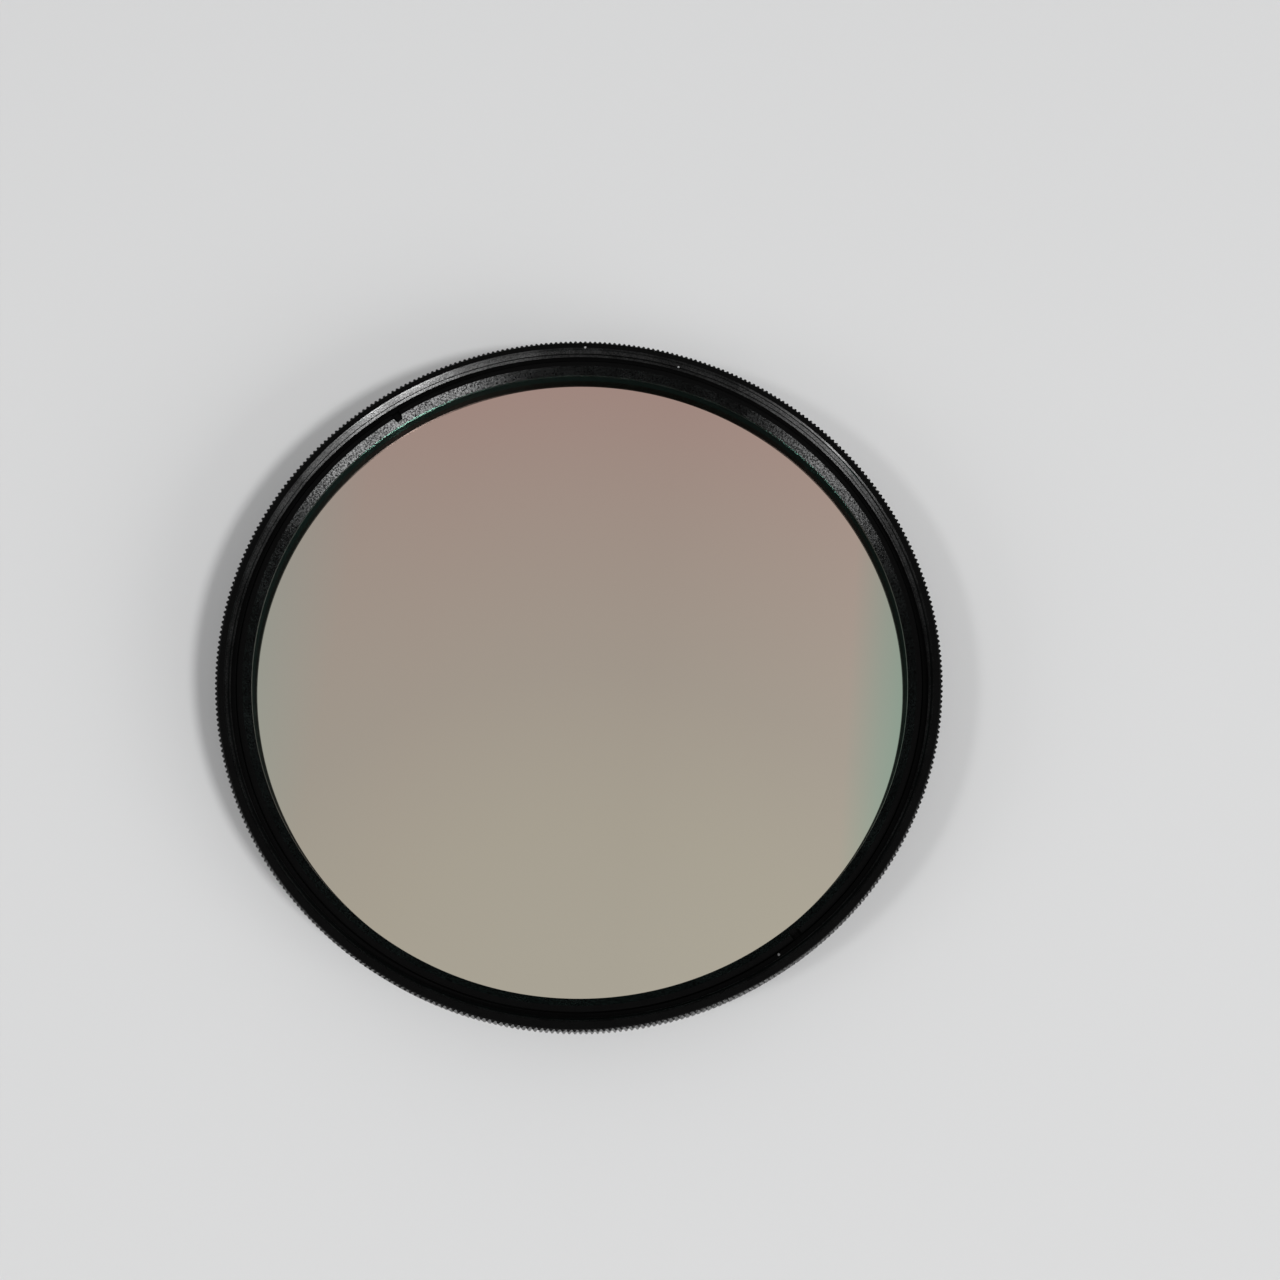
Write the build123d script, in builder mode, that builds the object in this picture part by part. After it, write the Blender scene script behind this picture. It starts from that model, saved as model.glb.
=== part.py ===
from build123d import *
import math
import os

# A round bandpass filter for the front of a lens. A turned mount ring holds a flat coated
# glass, and a slotted retaining ring screwed in from the front clamps the glass down.
# It lies front face up on the end of its rear thread.
# Millimetres, +Z up, origin at the centre of the rear end face.

# Screw thread: the rear one goes into a lens, the front one takes the next filter
thread_diameter = 77.0
thread_pitch = 0.75
thread_allowance = 0.02  # the rear thread is this much under its nominal radius
rear_thread_length = 2.4
rear_thread_chamfer = 0.3
relief_width = 0.5  # groove between the rear thread and the rim
relief_depth = 0.5

# Rim of the mount ring
rim_wall = 1.0  # from the thread's nominal radius to the tips of the knurl
knurl_teeth = 424
knurl_depth = 0.2
knurl_margin = 0.1  # plain land above and below the knurled band
land_gap = 0.06  # the plain lands lie this far under the bottoms of the knurl
rim_edge_break = 0.1
front_chamfer = 0.45  # lead-in of the front thread

# Heights, from the rear end face up to the front face
rear_recess = 1.0
ledge_height = 0.8  # the ledge that the glass sits on
glass_thickness = 2.0
ring_height = 2.25
front_recess = 1.35  # the retaining ring's top lies this far below the front face

# Glass and the bores that hold it
ring_step = 0.45  # the retaining ring's bore is this much under the front thread's bore
pocket_step = 0.3  # the glass's pocket is this much under the retaining ring's bore
glass_clearance = 0.1
glass_chamfer = 0.15
pocket_relief = 0.1  # the pocket ends this far below the glass's top, so the ring bears on glass
rear_bore_step = 0.65  # the rear bore is this much wider than the clear opening

# Retaining ring
ring_clearance = 0.05
ring_wall = 1.53  # from its outer side to its bore, which is the filter's clear opening
ring_edge_break = 0.1
bevel_width = 0.75
bevel_depth = 0.9
lip_width = 0.1  # narrow steep facet below the bevel
lip_depth = 0.3
slot_top_width = 1.1
slot_floor_width = 0.75
slot_depth = 0.45
slot_angle = 133.1  # degrees from +X; the second slot is opposite
slot_count = 2

# Levels
ledge_z = rear_recess + ledge_height
glass_top_z = ledge_z + glass_thickness
ring_top_z = glass_top_z + ring_height
front_z = ring_top_z + front_recess

# Radii
nominal_radius = thread_diameter / 2
front_bore_radius = nominal_radius - 0.541 * thread_pitch  # crests of an inside metric thread
rear_thread_radius = nominal_radius - thread_allowance
rim_radius = nominal_radius + rim_wall
root_radius = rim_radius - knurl_depth
land_radius = root_radius - land_gap
ring_bore_radius = front_bore_radius - ring_step
pocket_radius = ring_bore_radius - pocket_step
glass_radius = pocket_radius - glass_clearance
ring_outer_radius = ring_bore_radius - ring_clearance
clear_radius = ring_outer_radius - ring_wall
rear_bore_radius = clear_radius + rear_bore_step


def knurl_points():
    """Outline of the straight knurl: one tip and one bottom for each tooth."""
    step = 2 * math.pi / knurl_teeth
    points = []
    for tooth in range(knurl_teeth):
        for radius, angle in ((rim_radius, tooth * step), (root_radius, (tooth + 0.5) * step)):
            points.append((radius * math.cos(angle), radius * math.sin(angle)))
    return points


# Mount ring: one turned aluminium piece, with its knurl rolled into the rim
with BuildPart() as mount_ring:
    with BuildSketch(Plane.XZ):
        with BuildLine():
            Polyline(
                (rear_bore_radius, 0),
                (rear_thread_radius - rear_thread_chamfer, 0),
                (rear_thread_radius, rear_thread_chamfer),
                (rear_thread_radius, rear_thread_length - relief_width),
                (rear_thread_radius - relief_depth, rear_thread_length - relief_width),
                (rear_thread_radius - relief_depth, rear_thread_length),
                (land_radius - rim_edge_break, rear_thread_length),
                (land_radius, rear_thread_length + rim_edge_break),
                (land_radius, front_z - rim_edge_break),
                (land_radius - rim_edge_break, front_z),
                (front_bore_radius + front_chamfer, front_z),
                (front_bore_radius, front_z - front_chamfer),
                (front_bore_radius, ring_top_z - ring_edge_break),
                (ring_bore_radius, ring_top_z - ring_edge_break),
                (ring_bore_radius, glass_top_z - pocket_relief),
                (pocket_radius, glass_top_z - pocket_relief),
                (pocket_radius, ledge_z),
                (clear_radius, ledge_z),
                (clear_radius, rear_recess),
                (rear_bore_radius, rear_recess),
                close=True,
            )
        make_face()
    revolve(axis=Axis.Z)
    # the knurled band stands proud of the plain lands above and below it
    with BuildSketch(Plane.XY.offset(rear_thread_length + knurl_margin)):
        with BuildLine():
            Polyline(*knurl_points(), close=True)
        make_face()
        Circle((front_bore_radius + land_radius) / 2, mode=Mode.SUBTRACT)
    extrude(amount=front_z - rear_thread_length - 2 * knurl_margin)
mount_ring.part.label = "mount_ring"

# Glass: a flat round plate, its coating is part of it
with BuildPart() as filter_glass:
    with BuildSketch(Plane.XY.offset(ledge_z)):
        Circle(glass_radius)
    extrude(amount=glass_thickness)
    chamfer(filter_glass.edges(), length=glass_chamfer)
filter_glass.part.label = "filter_glass"

# Retaining ring: bevelled towards the glass, with two slots for a spanner
with BuildPart() as retaining_ring:
    with BuildSketch(Plane.XZ):
        with BuildLine():
            Polyline(
                (clear_radius, glass_top_z),
                (ring_outer_radius - ring_edge_break, glass_top_z),
                (ring_outer_radius, glass_top_z + ring_edge_break),
                (ring_outer_radius, ring_top_z - ring_edge_break),
                (ring_outer_radius - ring_edge_break, ring_top_z),
                (clear_radius + lip_width + bevel_width, ring_top_z),
                (clear_radius + lip_width, ring_top_z - bevel_depth),
                (clear_radius, ring_top_z - bevel_depth - lip_depth),
                close=True,
            )
        make_face()
    revolve(axis=Axis.Z)
    for slot in range(slot_count):
        angle = math.radians(slot_angle + slot * 360 / slot_count)
        outward = Vector(math.cos(angle), math.sin(angle), 0)
        across = Vector(-outward.Y, outward.X, 0)
        with BuildSketch(Plane(outward * clear_radius + (0, 0, ring_top_z), across, outward)):
            with BuildLine():
                Polyline(
                    (-slot_top_width / 2, 0),
                    (slot_top_width / 2, 0),
                    (slot_floor_width / 2, -slot_depth),
                    (-slot_floor_width / 2, -slot_depth),
                    close=True,
                )
            make_face()
        extrude(amount=rim_radius - clear_radius, mode=Mode.SUBTRACT)
retaining_ring.part.label = "retaining_ring"

os.makedirs("parts", exist_ok=True)
export_step(mount_ring.part, "parts/mount_ring.step")
export_step(filter_glass.part, "parts/filter_glass.step")
export_step(retaining_ring.part, "parts/retaining_ring.step")
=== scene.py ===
import bpy
import math
from mathutils import Matrix, Vector


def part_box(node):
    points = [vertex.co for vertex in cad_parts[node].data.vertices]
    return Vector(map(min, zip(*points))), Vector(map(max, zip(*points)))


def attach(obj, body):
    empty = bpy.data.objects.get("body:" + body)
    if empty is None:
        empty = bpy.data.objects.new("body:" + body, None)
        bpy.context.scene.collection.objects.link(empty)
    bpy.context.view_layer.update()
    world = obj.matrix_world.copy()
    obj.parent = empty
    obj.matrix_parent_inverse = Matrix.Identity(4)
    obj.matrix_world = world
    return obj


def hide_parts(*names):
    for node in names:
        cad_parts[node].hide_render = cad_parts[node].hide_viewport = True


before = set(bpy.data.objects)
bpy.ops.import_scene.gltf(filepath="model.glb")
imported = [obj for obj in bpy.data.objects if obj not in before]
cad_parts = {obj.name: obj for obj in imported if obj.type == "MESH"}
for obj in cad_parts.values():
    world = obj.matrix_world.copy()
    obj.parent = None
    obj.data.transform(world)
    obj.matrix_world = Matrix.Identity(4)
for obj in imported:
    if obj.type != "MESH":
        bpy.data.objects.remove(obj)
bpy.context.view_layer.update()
mm = 0.001


# Mount ring: the outer ring that carries everything, turned from one bar of aluminium and
# anodised black. A straight knurl is rolled into its rim for grip, and it has a fine thread
# inside its front for the next filter and one outside its rear for the lens.
_, rim_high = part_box("mount_ring")
glass_low, glass_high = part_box("filter_glass")
clamp_low, clamp_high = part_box("retaining_ring")
rim_radius = rim_high.x
front_z = rim_high.z
shoulder_z = 2.4 * mm

knurl_teeth = 424
columns_per_tooth = 4
tip_end, tip_start = 0.2, 0.7  # shares of a tooth's pitch; the tip lies round its start
knurl_depth = 0.2 * mm
knurl_end_slope = 0.05 * mm  # each tooth runs out over this height at its two ends
knurl_margin = 0.1 * mm
land_gap = 0.06 * mm
rim_edge_break = 0.1 * mm

thread_pitch = 0.75 * mm
thread_depth = 0.541 * thread_pitch
thread_crest_share = 0.25
thread_root_share = 0.1
thread_steps = 20  # rows of points in one turn of thread
front_thread_start = 0.57  # share of a turn

front_bore = 38.094 * mm
front_chamfer = 0.45 * mm
chamfer_top_width = 0.18 * mm  # its upper part is a little flatter
chamfer_top_depth = 0.12 * mm
ring_step = 0.45 * mm
pocket_step = 0.3 * mm
rear_bore_step = 0.65 * mm
ring_bore = front_bore - ring_step
pocket_bore = ring_bore - pocket_step
clear_bore = 36.064 * mm
rear_bore = clear_bore + rear_bore_step
rear_recess_z = 1.0 * mm
seat_gap = 0.1 * mm  # the ledges end this far under the tops of what they hold
upper_ledge_z = clamp_high.z - seat_gap

rear_thread = 38.48 * mm
rear_thread_chamfer = 0.3 * mm
relief_z = 1.9 * mm
relief_depth = 0.5 * mm
relief_radius = rear_thread - relief_depth

smooth_limit = 28  # degrees between two faces that still shade as one
weld_scale = 1e8  # points closer than a hundred-millionth of a metre are one point


def lead_in(z):
    """Radius of the front thread's lead-in chamfer at height z."""
    corner = front_bore + front_chamfer - chamfer_top_width
    below = front_z - z - chamfer_top_depth
    if below < 0:
        return corner - below * chamfer_top_width / chamfer_top_depth
    return corner - below * (front_chamfer - chamfer_top_width) / (front_chamfer - chamfer_top_depth)


def thread_cut(z, turn):
    """How deep the thread is cut, 0 to 1 of its depth, at height z and a share of a turn."""
    phase = (z / thread_pitch - turn) % 1.0
    flank = (1 - thread_crest_share - thread_root_share) / 2
    if phase < thread_crest_share:
        return 0.0
    if phase < thread_crest_share + flank:
        return (phase - thread_crest_share) / flank
    if phase < thread_crest_share + flank + thread_root_share:
        return 1.0
    return (1.0 - phase) / flank


def thread_rows(low, high, turn):
    """Heights from low to high that follow the thread's corners as it climbs with the turn."""
    first = math.floor(low / thread_pitch) - 2
    count = (math.ceil((high - low) / thread_pitch) + 4) * thread_steps
    step = thread_pitch / thread_steps
    start = (first + turn) * thread_pitch
    return [min(max(start + k * step, low), high) for k in range(count + 1)]


class SheetMesh:
    """Gathers faces between columns of points and welds the points that coincide."""

    def __init__(self):
        self.index = {}
        self.points = []
        self.faces = []
        self.bands = []

    def vertex(self, radius, z, turn):
        angle = 2 * math.pi * (turn % 1.0)
        point = (radius * math.cos(angle), radius * math.sin(angle), z)
        key = tuple(round(value * weld_scale) for value in point)
        if key not in self.index:
            self.index[key] = len(self.points)
            self.points.append(point)
        return self.index[key]

    def face(self, corners, band):
        loop = [v for k, v in enumerate(corners) if v != corners[k - 1]]
        if len(set(loop)) == len(loop) and len(loop) > 2:
            self.faces.append(loop)
            self.bands.append(band)

    def sheet(self, column, count, bands):
        """column(turn) gives the (radius, z) points of one column. bands names each gap's material."""
        last = [self.vertex(r, z, 0.0) for r, z in column(0.0)]
        for k in range(1, count + 1):
            turn = (k % count) / count
            now = [self.vertex(r, z, turn) for r, z in column(k / count)]
            for row in range(len(now) - 1):
                self.face((last[row], now[row], now[row + 1], last[row + 1]), bands[row])
            last = now

    def build(self, name, materials):
        mesh = bpy.data.meshes.new(name)
        mesh.from_pydata(self.points, [], self.faces)
        for material in materials:
            mesh.materials.append(material)
        mesh.polygons.foreach_set("material_index", self.bands)
        mesh.validate()
        mesh.shade_smooth()
        mesh.set_sharp_from_angle(angle=math.radians(smooth_limit))
        piece = bpy.data.objects.new(name, mesh)
        bpy.context.scene.collection.objects.link(piece)
        return piece


def node(tree, kind, **values):
    """Adds a shader node and sets its inputs by name and its settings."""
    made = tree.nodes.new(kind)
    for key, value in values.items():
        if key in made.inputs:
            made.inputs[key].default_value = value
        else:
            setattr(made, key, value)
    return made


def new_group(name, inputs, outputs):
    """A shader node group with float inputs (name, value) and outputs (name, kind)."""
    group = bpy.data.node_groups.new(name, "ShaderNodeTree")
    for label, value in inputs:
        socket = group.interface.new_socket(label, in_out="INPUT", socket_type="NodeSocketFloat")
        socket.default_value = value
    for label, kind in outputs:
        group.interface.new_socket(label, in_out="OUTPUT", socket_type=kind)
    return group, group.nodes.new("NodeGroupInput"), group.nodes.new("NodeGroupOutput")


fine_ratio = 2.3  # the fine noise is this many times finer than the coarse one
fine_share = 0.35


def make_grain_group():
    """Fine pits of a blasted or anodised face, as a height: a coarse and a fine noise, mixed.

    Grain Size is in millimetres. Mottle is a slower noise for the tint and the roughness.
    """
    group, given, result = new_group(
        "metal_grain",
        [("Grain Size", 0.1)],
        [("Height", "NodeSocketFloat"), ("Mottle", "NodeSocketFloat")],
    )
    place = node(group, "ShaderNodeTexCoord")
    per_metre = node(group, "ShaderNodeMath", operation="DIVIDE")
    per_metre.inputs[0].default_value = 1 / mm
    finer = node(group, "ShaderNodeMath", operation="MULTIPLY")
    finer.inputs[1].default_value = fine_ratio
    coarse_noise = node(group, "ShaderNodeTexNoise", Detail=1.0, Roughness=0.6)
    fine_noise = node(group, "ShaderNodeTexNoise", Detail=1.0, Roughness=0.7)
    cloud = node(group, "ShaderNodeTexNoise", Scale=260.0, Detail=3.0, Roughness=0.6)
    blend = node(group, "ShaderNodeMix", data_type="FLOAT")
    blend.inputs[0].default_value = fine_share
    link = group.links.new
    link(given.outputs["Grain Size"], per_metre.inputs[1])
    link(per_metre.outputs[0], coarse_noise.inputs["Scale"])
    link(per_metre.outputs[0], finer.inputs[0])
    link(finer.outputs[0], fine_noise.inputs["Scale"])
    for noise in (coarse_noise, fine_noise, cloud):
        link(place.outputs["Object"], noise.inputs["Vector"])
    link(coarse_noise.outputs[0], blend.inputs[2])
    link(fine_noise.outputs[0], blend.inputs[3])
    link(blend.outputs[0], result.inputs["Height"])
    link(cloud.outputs[0], result.inputs["Mottle"])
    return group


# pale specks: two of dust, and the third, by the near slot, a painted highlight of the slot's edge
dust_and_glint_specks = ((-4.5, 38.34, 7.4), (6.81, 37.5, 6.75), (23.8, -29.4, 5.95))  # millimetres
speck_radius = 0.13 * mm
dust_and_glint_grey = (0.3, 0.3, 0.3, 1.0)


def make_dust_and_glint_group():
    """Three pale grey specks on the front: two of dust on the far side, and a painted highlight on the
    near side, where the edge of a slot glints.
    """
    group, _, result = new_group("dust_and_glint", [], [("Amount", "NodeSocketFloat")])
    place = node(group, "ShaderNodeTexCoord")
    total = None
    for x, y, z in dust_and_glint_specks:
        away = node(group, "ShaderNodeVectorMath", operation="DISTANCE")
        away.inputs[1].default_value = (x * mm, y * mm, z * mm)
        near = node(group, "ShaderNodeMath", operation="LESS_THAN")
        near.inputs[1].default_value = speck_radius
        group.links.new(place.outputs["Object"], away.inputs[0])
        group.links.new(away.outputs["Value"], near.inputs[0])
        if total is None:
            total = near.outputs[0]
            continue
        both = node(group, "ShaderNodeMath", operation="MAXIMUM")
        group.links.new(total, both.inputs[0])
        group.links.new(near.outputs[0], both.inputs[1])
        total = both.outputs[0]
    group.links.new(total, result.inputs["Amount"])
    return group


grain_group = make_grain_group()
dust_and_glint_group = make_dust_and_glint_group()


skin_ior = 1.8
roughness_spread = 0.05
mottle_lift = 1.8  # the palest dye is this many times as bright as the darkest


def black_metal(name, colour, roughness, shine, sparkle, grain_size, grain_depth):
    """Black anodised aluminium: nearly black dye, a satin skin and the grain of its last cut.

    sparkle is the share of its shine that the grain adds or takes away. Grain is in millimetres.
    """
    material = bpy.data.materials.new(name)
    material.use_nodes = True
    tree = material.node_tree
    shader = tree.nodes["Principled BSDF"]
    shader.inputs["Metallic"].default_value = 0.0
    shader.inputs["IOR"].default_value = skin_ior
    glint = node(tree, "ShaderNodeMapRange")
    glint.inputs["From Min"].default_value = 0.4
    glint.inputs["From Max"].default_value = 0.6
    glint.inputs["To Min"].default_value = shine * (1 - sparkle)
    glint.inputs["To Max"].default_value = shine * (1 + sparkle)
    grain = node(tree, "ShaderNodeGroup", node_tree=grain_group)
    grain.inputs["Grain Size"].default_value = grain_size
    bump = node(tree, "ShaderNodeBump", Distance=grain_depth * mm, Strength=1.0)
    spread = node(tree, "ShaderNodeMapRange")
    spread.inputs["From Min"].default_value = 0.35
    spread.inputs["From Max"].default_value = 0.65
    spread.inputs["To Min"].default_value = roughness - roughness_spread
    spread.inputs["To Max"].default_value = roughness + roughness_spread
    tint = node(tree, "ShaderNodeMix", data_type="RGBA")
    tint.inputs[6].default_value = (*colour, 1.0)
    tint.inputs[7].default_value = (*(value * mottle_lift for value in colour), 1.0)
    # the pale specks are dust, and the one by the near slot is a painted highlight
    dust_and_glint = node(tree, "ShaderNodeGroup", node_tree=dust_and_glint_group)
    speckled = node(tree, "ShaderNodeMix", data_type="RGBA")
    speckled.inputs[7].default_value = dust_and_glint_grey
    link = tree.links.new
    link(grain.outputs["Height"], glint.inputs["Value"])
    link(glint.outputs["Result"], shader.inputs["Specular IOR Level"])
    link(grain.outputs["Height"], bump.inputs["Height"])
    link(bump.outputs["Normal"], shader.inputs["Normal"])
    link(grain.outputs["Mottle"], spread.inputs["Value"])
    link(spread.outputs["Result"], shader.inputs["Roughness"])
    link(grain.outputs["Mottle"], tint.inputs[0])
    link(dust_and_glint.outputs["Amount"], speckled.inputs[0])
    link(tint.outputs[2], speckled.inputs[6])
    link(speckled.outputs[2], shader.inputs["Base Color"])
    return material


# dye, then roughness, shine, sparkle, grain size and grain depth
black = (0.0016, 0.0016, 0.0016)
turned_black = black_metal("turned_black", black, 0.42, 0.025, 0.2, 0.12, 0.004)
thread_black = black_metal("thread_black", black, 0.3, 0.38, 0.5, 0.16, 0.004)
chamfer_black = black_metal("chamfer_black", black, 0.28, 0.3, 0.4, 0.16, 0.004)
knurl_black = black_metal("knurl_black", black, 0.36, 0.17, 0.3, 0.12, 0.003)
TURNED, THREADED, CHAMFERED, KNURLED = range(4)

rim = SheetMesh()
land_radius = rim_radius - knurl_depth - land_gap
knurl_low = shoulder_z + knurl_margin
knurl_high = front_z - knurl_margin
columns = columns_per_tooth * knurl_teeth


def rim_column(turn):
    """Outer side of the rim: shoulder edge, land, knurled band, land, front edge."""
    place = (turn * knurl_teeth) % 1.0
    on_tip = place < tip_end or place > tip_start
    tooth = rim_radius if on_tip else rim_radius - knurl_depth
    return [
        (land_radius - rim_edge_break, shoulder_z),
        (land_radius, shoulder_z + rim_edge_break),
        (land_radius, knurl_low),
        (tooth, knurl_low + knurl_end_slope),
        (tooth, knurl_high - knurl_end_slope),
        (land_radius, knurl_high),
        (land_radius - rim_edge_break, front_z),
    ]


rim.sheet(rim_column, columns, [TURNED, TURNED, KNURLED, KNURLED, KNURLED, TURNED])


def bore_column(turn):
    """From the front face down the threaded bore, over the seats and out to the rear thread."""
    points = []
    front_turn = turn + front_thread_start
    for z in thread_rows(upper_ledge_z, front_z, front_turn):
        points.append((max(front_bore + thread_depth * thread_cut(z, front_turn), lead_in(z)), z))
    points.reverse()
    points += [
        (ring_bore, upper_ledge_z),
        (ring_bore, glass_high.z - seat_gap),
        (pocket_bore, glass_high.z - seat_gap),
        (pocket_bore, glass_low.z),
        (clear_bore, glass_low.z),
        (clear_bore, rear_recess_z),
        (rear_bore, rear_recess_z),
        (rear_bore, 0.0),
    ]
    for z in thread_rows(0.0, relief_z, turn):
        cone = rear_thread - rear_thread_chamfer + z
        points.append((min(rear_thread - thread_depth * thread_cut(z, turn), cone), z))
    points += [(relief_radius, relief_z), (relief_radius, shoulder_z)]
    return points


def thread_band(row):
    """Only the thread's flanks are bright. Its crests and roots are dull."""
    phase = (row + 0.5) / thread_steps % 1.0
    root = 0.5 + thread_crest_share / 2
    on_flat = phase < thread_crest_share or abs(phase - root) < thread_root_share / 2
    return TURNED if on_flat else THREADED


front_rows = len(thread_rows(upper_ledge_z, front_z, 0.0))
rear_rows = len(thread_rows(0.0, relief_z, 0.0))
front_bands = [thread_band(row) for row in reversed(range(front_rows - 1))]
rear_bands = [thread_band(row) for row in range(rear_rows - 1)]
seat_bands = [TURNED] * 9  # the ledges and bores between the two threads
relief_bands = [TURNED] * 2
bore_bands = front_bands + seat_bands + rear_bands + relief_bands
rim.sheet(bore_column, columns // 2, bore_bands)

# the flat front face and the shoulder join the fine outer columns to the coarser inner ones
for outer, inner, z in (
    (land_radius - rim_edge_break, front_bore + front_chamfer, front_z),
    (land_radius - rim_edge_break, relief_radius, shoulder_z),
):
    for k in range(0, columns, 2):
        outside = [rim.vertex(outer, z, ((k + step) % columns) / columns) for step in (0, 1, 2)]
        inside = [rim.vertex(inner, z, ((k + step) % columns) / columns) for step in (2, 0)]
        rim.face(outside + inside, TURNED)

mount_ring = rim.build("mount_ring_dressed", [turned_black, thread_black, chamfer_black, knurl_black])
# of the lead-in chamfer only the flatter top is polished, the rest is dull
cone_floor = front_z - front_chamfer
cone_tolerance = 0.004 * mm
for face in mount_ring.data.polygons:
    reach = math.hypot(face.center.x, face.center.y)
    on_cone = abs(reach - lead_in(face.center.z)) < cone_tolerance
    if face.center.z > cone_floor and on_cone:
        face.material_index = CHAMFERED if face.center.z > front_z - chamfer_top_depth else TURNED
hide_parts("mount_ring")
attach(mount_ring, "root")


# Filter glass: one flat round plate, ground and polished, with a hard mirror-like coating of
# many thin layers on both faces. Its edge is chamfered and it lies loose in its pocket.
glass_radius = glass_high.x
glass_chamfer = 0.15 * mm
round_columns = 720  # columns of points round the glass and the retaining ring

# painted reflection: the colour the glass mirrors is tinted by position, drifting a little from its left
# edge to its right and mint towards both edges, in place of the coating's shift with the viewing angle
reflection_tint_group, _, drift_result = new_group("painted_reflection_tint", [], [("Colour", "NodeSocketColor")])
glass_place = node(reflection_tint_group, "ShaderNodeTexCoord")
apart = node(reflection_tint_group, "ShaderNodeSeparateXYZ")
share = node(reflection_tint_group, "ShaderNodeMapRange")
share.inputs["From Min"].default_value = -glass_radius
share.inputs["From Max"].default_value = glass_radius
drift = node(reflection_tint_group, "ShaderNodeValToRGB")
drift.color_ramp.elements[0].position = 0.0
drift.color_ramp.elements[0].color = (0.88, 1.12, 1.14, 1.0)
drift.color_ramp.elements[1].position = 1.0
drift.color_ramp.elements[1].color = (0.7, 1.15, 1.1, 1.0)
for position, colour in (
    (0.13, (0.99, 1.02, 1.02)),
    (0.25, (1.0, 1.0, 1.0)),
    (0.6, (1.0, 1.0, 1.0)),
    (0.8, (1.05, 1.06, 1.06)),
    (0.9, (1.08, 1.1, 1.1)),
    (0.95, (0.86, 1.14, 1.12)),
):
    drift.color_ramp.elements.new(position).color = (*colour, 1.0)
reflection_tint_group.links.new(glass_place.outputs["Object"], apart.inputs[0])
reflection_tint_group.links.new(apart.outputs["X"], share.inputs["Value"])
reflection_tint_group.links.new(share.outputs["Result"], drift.inputs["Fac"])
reflection_tint_group.links.new(drift.outputs["Color"], drift_result.inputs["Colour"])

coated_glass = bpy.data.materials.new("coated_glass")
coated_glass.use_nodes = True
tree = coated_glass.node_tree
shader = tree.nodes["Principled BSDF"]
shader.inputs["Metallic"].default_value = 1.0
shader.inputs["Roughness"].default_value = 0.015
# the colour it mirrors turns from warm grey to mint as the glance gets flatter
tilt = node(tree, "ShaderNodeLayerWeight", Blend=0.5)
hue = node(tree, "ShaderNodeValToRGB")
ramp = hue.color_ramp
ramp.elements[0].position = 0.0
ramp.elements[0].color = (0.79, 0.73, 0.6, 1.0)
ramp.elements[1].position = 1.0
ramp.elements[1].color = (0.8, 0.92, 0.9, 1.0)
for position, colour in (
    (0.02, (0.76, 0.69, 0.56)),
    (0.05, (0.7, 0.61, 0.51)),
    (0.1, (0.69, 0.54, 0.46)),
    (0.145, (0.68, 0.47, 0.41)),
    (0.19, (0.5, 0.55, 0.46)),
    (0.24, (0.34, 0.78, 0.62)),
    (0.4, (0.3, 0.82, 0.68)),
    (0.65, (0.45, 0.86, 0.78)),
):
    ramp.elements.new(position).color = (*colour, 1.0)
# the painted reflection tint multiplies the colour the glass mirrors
painted_reflection_tint = node(tree, "ShaderNodeGroup", node_tree=reflection_tint_group)
coating = node(tree, "ShaderNodeMix", data_type="RGBA", blend_type="MULTIPLY")
coating.inputs[0].default_value = 1.0
tree.links.new(tilt.outputs["Facing"], hue.inputs["Fac"])
tree.links.new(hue.outputs["Color"], coating.inputs[6])
tree.links.new(painted_reflection_tint.outputs["Colour"], coating.inputs[7])
tree.links.new(coating.outputs[2], shader.inputs["Base Color"])

disc = SheetMesh()


def glass_column(turn):
    """From the middle of the rear face over the edge to the middle of the front face."""
    return [
        (0.0, glass_low.z),
        (glass_radius - glass_chamfer, glass_low.z),
        (glass_radius, glass_low.z + glass_chamfer),
        (glass_radius, glass_high.z - glass_chamfer),
        (glass_radius - glass_chamfer, glass_high.z),
        (0.0, glass_high.z),
    ]


disc.sheet(glass_column, round_columns, [0] * 5)
filter_glass = disc.build("filter_glass_dressed", [coated_glass])
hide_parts("filter_glass")
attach(filter_glass, "root")


# Retaining ring: a thin threaded ring of the same metal, bead-blasted before anodising, which
# screws down onto the glass. Its bevel opens towards the front, and two slots take a spanner.
clamp_outer = clamp_high.x
clamp_edge_break = 0.1 * mm
bevel_width = 0.75 * mm
bevel_depth = 0.9 * mm
lip_width = 0.1 * mm
lip_depth = 0.3 * mm
slot_top_width = 1.1 * mm
slot_floor_width = 0.75 * mm
slot_depth = 0.45 * mm
slot_turn = 133.1 / 360
slot_slope = (slot_top_width - slot_floor_width) / 2 / slot_depth
overshoot = 1 * mm  # the slots' cutter reaches this far past the ring
clamp_smooth_limit = 20

blasted_black = black_metal("blasted_black", black, 0.24, 0.34, 0.95, 0.2, 0.017)
lip_black = black_metal("lip_black", black, 0.33, 0.42, 0.5, 0.2, 0.006)
# painted reflection: the wall's dye is tinted green in place of the mint glass that it mirrors
wall_painted_reflection = black_metal("wall_painted_reflection", (0.0012, 0.003, 0.0026), 0.6, 0.015, 0.2, 0.2, 0.006)

clamp = SheetMesh()
lip_top_z = clamp_high.z - bevel_depth
wall_bore = clear_bore + lip_width


def clamp_column(turn):
    """Round the ring's section: under side, outer side, top, bevel, lip and wall."""
    return [
        (wall_bore, clamp_low.z),
        (clamp_outer - clamp_edge_break, clamp_low.z),
        (clamp_outer, clamp_low.z + clamp_edge_break),
        (clamp_outer, clamp_high.z - clamp_edge_break),
        (clamp_outer - clamp_edge_break, clamp_high.z),
        (clear_bore + lip_width + bevel_width, clamp_high.z),
        (clear_bore + lip_width, lip_top_z),
        (wall_bore, lip_top_z - lip_depth),
        (wall_bore, clamp_low.z),
    ]


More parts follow.
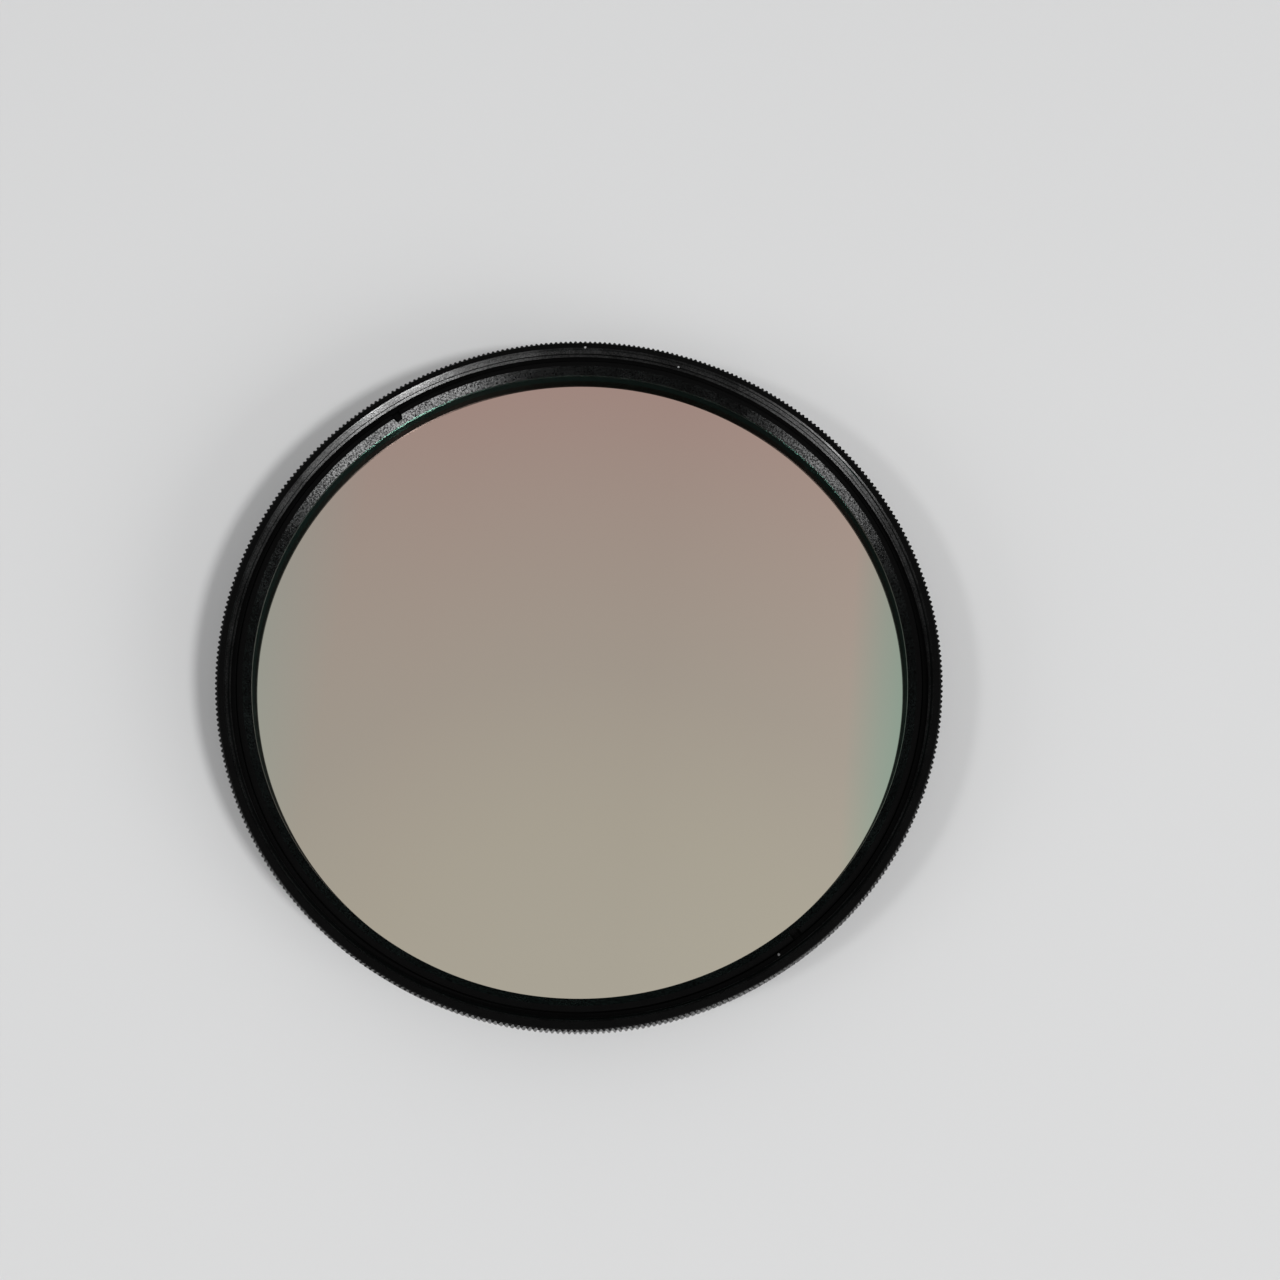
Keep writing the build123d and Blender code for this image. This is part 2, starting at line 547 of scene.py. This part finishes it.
BLASTED, PLAIN, LIP, WALL = range(4)
clamp.sheet(clamp_column, round_columns, [PLAIN, PLAIN, PLAIN, PLAIN, PLAIN, BLASTED, LIP, WALL])
clamp_materials = [blasted_black, turned_black, lip_black, wall_painted_reflection]
retaining_ring = clamp.build("retaining_ring_dressed", clamp_materials)

# each slot is cut with a tapered block that runs straight through the ring
for side in (0.0, 0.5):
    angle = 2 * math.pi * (slot_turn + side)
    outward = Vector((math.cos(angle), math.sin(angle), 0))
    across = Vector((-outward.y, outward.x, 0))
    wide = slot_top_width / 2 + slot_slope * overshoot
    section = (
        (-wide, overshoot),
        (wide, overshoot),
        (slot_floor_width / 2, -slot_depth),
        (-slot_floor_width / 2, -slot_depth),
    )
    corners = []
    for reach in (clear_bore - overshoot, clamp_outer + overshoot):
        for x, z in section:
            corners.append(outward * reach + across * x + Vector((0, 0, clamp_high.z + z)))
    cutter_mesh = bpy.data.meshes.new("slot_cutter")
    cutter_mesh.from_pydata(
        corners, [], [(0, 1, 2, 3), (7, 6, 5, 4), (4, 5, 1, 0), (5, 6, 2, 1), (6, 7, 3, 2), (7, 4, 0, 3)]
    )
    for material in (blasted_black, turned_black):
        cutter_mesh.materials.append(material)
    cutter_mesh.polygons.foreach_set("material_index", [PLAIN] * 6)
    cutter = bpy.data.objects.new("slot_cutter", cutter_mesh)
    bpy.context.scene.collection.objects.link(cutter)
    cut = retaining_ring.modifiers.new("slot", "BOOLEAN")
    cut.object = cutter
    cut.operation = "DIFFERENCE"
    cut.solver = "EXACT"
    bpy.context.view_layer.update()
    evaluated = retaining_ring.evaluated_get(bpy.context.evaluated_depsgraph_get())
    cut_mesh = bpy.data.meshes.new_from_object(evaluated)
    retaining_ring.modifiers.clear()
    retaining_ring.data = cut_mesh
    bpy.data.objects.remove(cutter)
retaining_ring.data.set_sharp_from_angle(angle=math.radians(clamp_smooth_limit))
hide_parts("retaining_ring")
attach(retaining_ring, "root")


# Floor, light and camera: a plain pale table in a dark room with a big round soft box overhead,
# and two lamps on the near side with a wide soft panel below each. The camera is the photo's.
floor_colour = (0.7, 0.702, 0.705)
floor_roughness = 0.9
floor_shine = 0.1
floor_size = 3.0
floor_mesh = bpy.data.meshes.new("floor")
half = floor_size / 2
floor_corners = [(-half, -half, 0), (half, -half, 0), (half, half, 0), (-half, half, 0)]
floor_mesh.from_pydata(floor_corners, [], [(0, 1, 2, 3)])
floor = bpy.data.objects.new("floor", floor_mesh)
bpy.context.scene.collection.objects.link(floor)
paper = bpy.data.materials.new("pale_floor")
paper.use_nodes = True
paper_shader = paper.node_tree.nodes["Principled BSDF"]
paper_shader.inputs["Base Color"].default_value = (*floor_colour, 1.0)
paper_shader.inputs["Roughness"].default_value = floor_roughness
paper_shader.inputs["Specular IOR Level"].default_value = floor_shine
floor_mesh.materials.append(paper)

dark_room = (0.018, 0.018, 0.018, 1.0)
soft_box = (0.5, 0.5, 0.5, 1.0)
soft_box_direction = (-0.03, 0.3, 0.955)
soft_box_foot, soft_box_rim = 0.83, 0.93  # cosines of the angle from its middle
grey_below = (0.4, 0.4, 0.4, 1.0)
pale_backdrop = (0.6, 0.605, 0.61, 1.0)
even_fill = (0.35, 0.35, 0.35, 1.0)

# polished faces mirror the dark room, the soft box and a grey below the table. The camera sees
# a pale backdrop, and dull faces get an even fill
world = bpy.data.worlds.new("pale_room")
world.use_nodes = True
room = world.node_tree
background = room.nodes["Background"]
looking = node(room, "ShaderNodeTexCoord")
towards_box = node(room, "ShaderNodeVectorMath", operation="DOT_PRODUCT")
towards_box.inputs[1].default_value = Vector(soft_box_direction).normalized()
sky = node(room, "ShaderNodeValToRGB")
sky.color_ramp.elements[0].position = soft_box_foot
sky.color_ramp.elements[0].color = dark_room
sky.color_ramp.elements[1].position = soft_box_rim
sky.color_ramp.elements[1].color = soft_box
seen = node(room, "ShaderNodeLightPath")
backdrop = node(room, "ShaderNodeMix", data_type="RGBA")
backdrop.inputs[7].default_value = pale_backdrop
room.links.new(looking.outputs["Generated"], towards_box.inputs[0])
room.links.new(towards_box.outputs["Value"], sky.inputs["Fac"])
height = node(room, "ShaderNodeSeparateXYZ")
below = node(room, "ShaderNodeMath", operation="LESS_THAN")
below.inputs[1].default_value = 0.0
ground = node(room, "ShaderNodeMix", data_type="RGBA")
ground.inputs[7].default_value = grey_below
room.links.new(looking.outputs["Generated"], height.inputs[0])
room.links.new(height.outputs["Z"], below.inputs[0])
room.links.new(below.outputs[0], ground.inputs[0])
room.links.new(sky.outputs["Color"], ground.inputs[6])
room.links.new(seen.outputs["Is Camera Ray"], backdrop.inputs[0])
room.links.new(ground.outputs[2], backdrop.inputs[6])
fill = node(room, "ShaderNodeMix", data_type="RGBA")
fill.inputs[7].default_value = even_fill
room.links.new(seen.outputs["Is Diffuse Ray"], fill.inputs[0])
room.links.new(backdrop.outputs[2], fill.inputs[6])
room.links.new(fill.outputs[2], background.inputs["Color"])
bpy.context.scene.world = world

lamp_reach = 2.7  # metres from the filter
lamp_size = (0.378,)


def lamp(name, azimuth, elevation, size, power):
    """Adds a lamp aimed at the filter, round if its size is one number.

    The azimuth is clockwise from +Y, seen from above. Degrees, metres and watts.
    """
    light = bpy.data.lights.new(name, "AREA")
    light.energy = power
    if len(size) == 1:
        light.shape = "DISK"
        light.size = size[0]
    else:
        light.shape = "RECTANGLE"
        light.size, light.size_y = size
    azimuth, elevation = math.radians(azimuth), math.radians(elevation)
    flat = math.cos(elevation)
    direction = Vector((math.sin(azimuth) * flat, math.cos(azimuth) * flat, math.sin(elevation)))
    holder = bpy.data.objects.new(name, light)
    holder.location = direction * lamp_reach
    holder.rotation_euler = direction.to_track_quat("Z", "Y").to_euler()
    bpy.context.scene.collection.objects.link(holder)


lamp("right_lamp", 123, 50, lamp_size, 33.0)
lamp("left_lamp", -119, 46, lamp_size, 11.5)
lamp("right_panel", 124, 20, (2.2, 1.0), 30.0)
lamp("left_panel", -120, 22, (1.2, 0.9), 11.0)

camera_place = Vector((5.99, -45.23, 139.79)) * mm
camera_pitch = math.radians(19.76)
camera_roll = math.radians(6.6)
lens_pixels = 1283.0  # focal length in pixels of the photo
picture_pixels = 1280.0
sensor = 36.0  # millimetres across
nearest = 5 * mm
camera = bpy.data.objects.new("camera", bpy.data.cameras.new("camera"))
camera.data.sensor_width = sensor
camera.data.lens = sensor * lens_pixels / picture_pixels
camera.data.clip_start = nearest
camera_turn = Matrix.Rotation(camera_pitch, 4, "X") @ Matrix.Rotation(camera_roll, 4, "Z")
camera.matrix_world = Matrix.Translation(camera_place) @ camera_turn
bpy.context.scene.collection.objects.link(camera)
bpy.context.scene.camera = camera
bpy.context.scene.view_settings.view_transform = "Standard"
